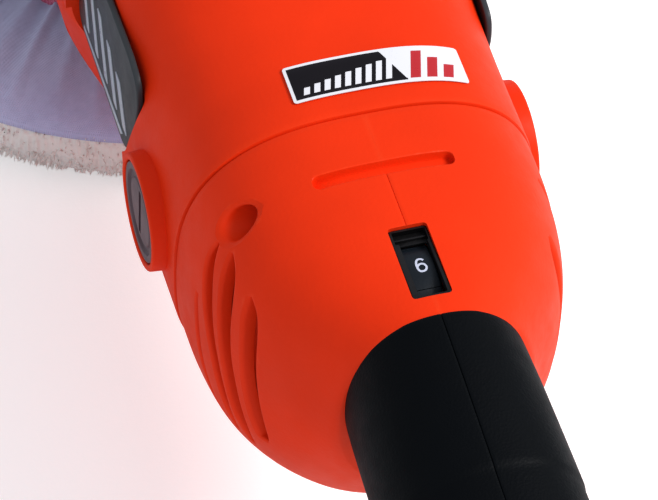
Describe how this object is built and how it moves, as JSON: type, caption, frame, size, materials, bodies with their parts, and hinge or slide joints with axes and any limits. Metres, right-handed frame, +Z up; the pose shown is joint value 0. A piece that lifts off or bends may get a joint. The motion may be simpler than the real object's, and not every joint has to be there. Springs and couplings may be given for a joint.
{
  "type": "rotary polisher",
  "caption": "Corded rotary polisher with an in-line motor, right-angle gear head, rubber rear grip with trigger, D-shaped front handle and a wool bonnet on a backing pad.",
  "frame": {"origin": "on the spindle axis at the bonnet's working face", "axes": "+Z up along the spindle, away from the work; -Y along the motor towards the rear grip; +X to the user's right"},
  "size_m": [0.21, 0.506, 0.1779],
  "materials": {
    "orange_plastic": "moulded glass-filled nylon, satin sheen",
    "grip_rubber": "soft overmoulded rubber, fine matt texture",
    "black_plastic": "moulded, lightly textured",
    "dial_plastic": "moulded slate black with white numbers",
    "cap_plastic": "moulded phenolic, grey mauve",
    "badge_plastic": "slate plate with silver stripes",
    "label_film": "printed film, black panel with white border",
    "cast_aluminium": "die cast, fine shot-blast texture",
    "laminated_steel": "stacked laminations",
    "bright_steel": "machined",
    "copper": "enamelled copper",
    "brass": "drawn brass",
    "carbon": "pressed carbon",
    "pad_rubber": "flexible backing pad",
    "wool": "lambswool pile with a woven skirt"
  },
  "bodies": {
    "housing": {"motor_housing": "orange_plastic", "gear_housing": "cast_aluminium", "bearing_box": "cast_aluminium", "bearing_plate": "cast_aluminium", "stator_core": "laminated_steel", "field_coil_front": "copper", "field_coil_rear": "copper", "fan_baffle": "black_plastic", "brush_holder_left": "brass", "brush_holder_right": "brass", "carbon_brush_left": "carbon", "carbon_brush_right": "carbon", "brush_cap_left": "cap_plastic", "brush_cap_right": "cap_plastic", "rear_cover_left": "orange_plastic", "rear_cover_right": "orange_plastic", "grip_skin_left": "grip_rubber", "grip_skin_right": "grip_rubber", "switch_body": "black_plastic", "speed_module": "black_plastic", "cable_gland": "grip_rubber", "speed_label": "label_film", "side_badge_left": "badge_plastic", "side_badge_right": "badge_plastic", "loop_handle": "black_plastic", "loop_bolt_left": "bright_steel", "loop_bolt_right": "bright_steel", "bearing_spindle_top": "bright_steel", "bearing_spindle_low": "bright_steel", "bearing_counter_front": "bright_steel", "bearing_counter_rear": "bright_steel", "bearing_armature_front": "bright_steel", "bearing_armature_rear": "bright_steel", "bearing_box_screw_1": "bright_steel", "bearing_box_screw_2": "bright_steel", "bearing_box_screw_3": "bright_steel", "bearing_box_screw_4": "bright_steel", "gear_housing_screw_1": "bright_steel", "gear_housing_screw_2": "bright_steel", "gear_housing_screw_3": "bright_steel", "gear_housing_screw_4": "bright_steel", "cover_screw_1": "bright_steel", "cover_screw_2": "bright_steel", "cover_screw_3": "bright_steel", "cover_screw_4": "bright_steel"},
    "spindle_assembly": {"spindle": "bright_steel", "bevel_gear": "bright_steel", "pad_hub": "bright_steel", "backing_pad": "pad_rubber", "wool_bonnet": "wool"},
    "counter_assembly": {"counter_shaft": "bright_steel", "counter_gear": "bright_steel"},
    "armature_assembly": {"armature_shaft": "bright_steel", "armature_core": "laminated_steel", "commutator": "copper", "cooling_fan": "black_plastic"},
    "trigger": {"trigger": "black_plastic"},
    "lock_on_button": {"lock_on_button": "black_plastic"},
    "speed_dial": {"speed_dial": "dial_plastic"},
    "spindle_lock_button": {"spindle_lock_button": "black_plastic"}
  },
  "joints": [
    {"name": "spindle_spin", "type": "hinge", "parent": "housing", "child": "spindle_assembly", "pos_m": [0, 0, 0.05], "axis": [0, 0, 1], "continuous": true},
    {"name": "counter_spin", "type": "hinge", "parent": "housing", "child": "counter_assembly", "pos_m": [0, -0.05, 0.07612], "axis": [0, 1, 0], "continuous": true},
    {"name": "armature_spin", "type": "hinge", "parent": "housing", "child": "armature_assembly", "pos_m": [0, -0.12, 0.098], "axis": [0, 1, 0], "continuous": true},
    {"name": "trigger_pull", "type": "hinge", "parent": "housing", "child": "trigger", "pos_m": [0, -0.281, 0.096], "axis": [-1, 0, 0], "range_deg": [0, 6], "stiffness_Nm_per_rad": 0.6, "springref_deg": -17.19},
    {"name": "lock_on_press", "type": "slide", "parent": "housing", "child": "lock_on_button", "axis": [1, 0, 0], "range_m": [0, 0.003], "stiffness_N_per_m": 300, "springref_m": -0.002},
    {"name": "dial_turn", "type": "hinge", "parent": "housing", "child": "speed_dial", "pos_m": [0, -0.2526, 0.1255], "axis": [1, 0, 0], "range_deg": [0, 250]},
    {"name": "spindle_lock_press", "type": "slide", "parent": "housing", "child": "spindle_lock_button", "axis": [0, 0, -1], "range_m": [0, 0.004], "stiffness_N_per_m": 300, "springref_m": -0.002}
  ],
  "couplings": [
    {"joint": "counter_spin", "follows": "spindle_spin", "ratio": -2.8333},
    {"joint": "armature_spin", "follows": "spindle_spin", "ratio": 9.5625}
  ]
}
